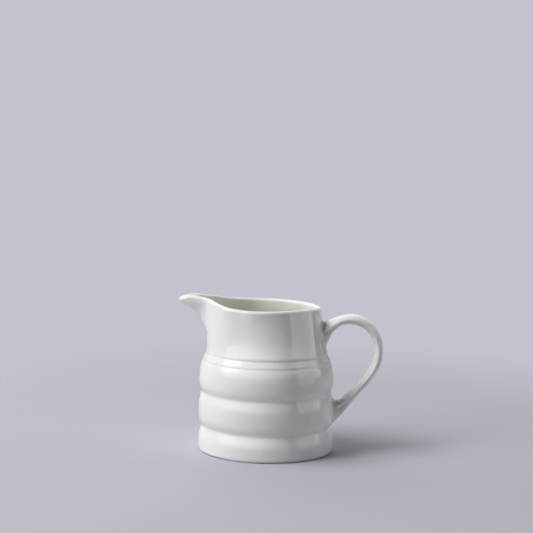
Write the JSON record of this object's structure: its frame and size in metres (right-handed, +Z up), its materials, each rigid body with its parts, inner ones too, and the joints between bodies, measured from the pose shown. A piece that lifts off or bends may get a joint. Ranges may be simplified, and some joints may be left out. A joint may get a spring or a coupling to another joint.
{
  "type": "cream jug",
  "caption": "Small white porcelain jug with a banded round body, tapering oval neck, pulled pouring lip and loop handle, for serving cream or milk",
  "frame": {"origin": "centre of the round base, on the face the jug rests on", "axes": "+Z up along the axis of the round body, +X towards the handle, so the pouring lip is towards -X"},
  "size_m": [0.1184, 0.078, 0.0892],
  "materials": {
    "body_porcelain": "clear glossy glaze over white porcelain, bare and matt on the resting ring",
    "handle_porcelain": "clear glossy glaze over white porcelain",
    "joint_slip": "glossy glaze over porcelain slip"
  },
  "bodies": {
    "root": {"jug_body": "body_porcelain", "handle": "handle_porcelain", "upper_handle_joint": "joint_slip", "lower_handle_joint": "joint_slip"}
  },
  "joints": []
}
